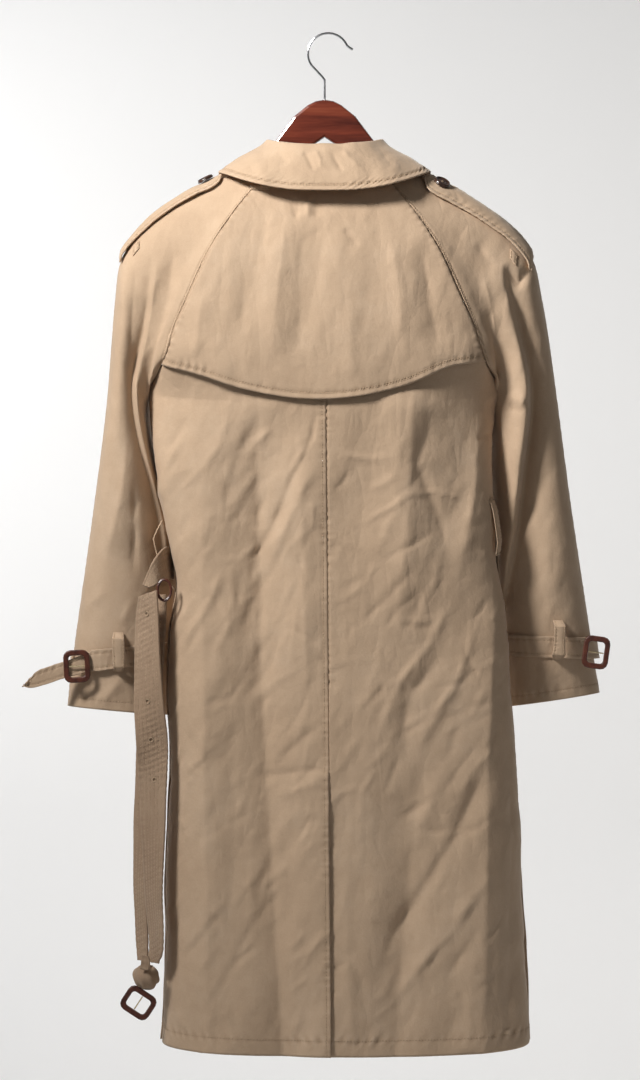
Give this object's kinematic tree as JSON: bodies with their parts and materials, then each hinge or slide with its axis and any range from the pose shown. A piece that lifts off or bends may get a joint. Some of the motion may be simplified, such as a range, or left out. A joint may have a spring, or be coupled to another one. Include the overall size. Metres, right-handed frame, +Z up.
{
  "type": "trench coat on a hanger",
  "caption": "Belted trench coat hanging by its shoulders on a wooden hanger, with storm shield, epaulettes, cuff straps and an untied belt.",
  "frame": {"origin": "inside top of the hanger's hook, where it rests on a rail", "axes": "+Z up, along the coat's length; +Y from the coat's back to its front; +X to the wearer's right"},
  "size_m": [0.7312, 0.1966, 1.2719],
  "materials": {
    "gabardine": "matt twill",
    "leather": "satin, brown",
    "button_horn": "mottled horn look, polished",
    "mahogany": "glossy lacquer",
    "steel": "bright plating",
    "brass": "worn plating"
  },
  "bodies": {
    "root": {"back_left": "gabardine", "back_right": "gabardine", "belt_buckle": "leather", "belt_end": "gabardine", "belt_knot": "gabardine", "belt_loop_left": "gabardine", "belt_loop_right": "gabardine", "belt_pass": "gabardine", "belt_prong": "brass", "belt_ring": "leather", "belt_strand_far": "gabardine", "belt_strand_near": "gabardine", "collar_fall": "gabardine", "collar_loop": "gabardine", "collar_stand": "gabardine", "cuff_buckle_left": "leather", "cuff_buckle_right": "leather", "cuff_loop_left": "gabardine", "cuff_loop_right": "gabardine", "cuff_prong_left": "brass", "cuff_prong_right": "brass", "cuff_strap_left": "gabardine", "cuff_strap_right": "gabardine", "epaulette_button_left": "button_horn", "epaulette_button_right": "button_horn", "epaulette_left": "gabardine", "epaulette_loop_left": "gabardine", "epaulette_loop_right": "gabardine", "epaulette_right": "gabardine", "front_button_1a": "button_horn", "front_button_1b": "button_horn", "front_button_2a": "button_horn", "front_button_2b": "button_horn", "front_button_3a": "button_horn", "front_button_3b": "button_horn", "front_left": "gabardine", "front_right": "gabardine", "hanger_hook": "steel", "hanger_yoke": "mahogany", "lapel_left": "gabardine", "lapel_right": "gabardine", "sleeve_back_left": "gabardine", "sleeve_back_right": "gabardine", "sleeve_front_left": "gabardine", "sleeve_front_right": "gabardine", "storm_shield": "gabardine"}
  },
  "joints": []
}
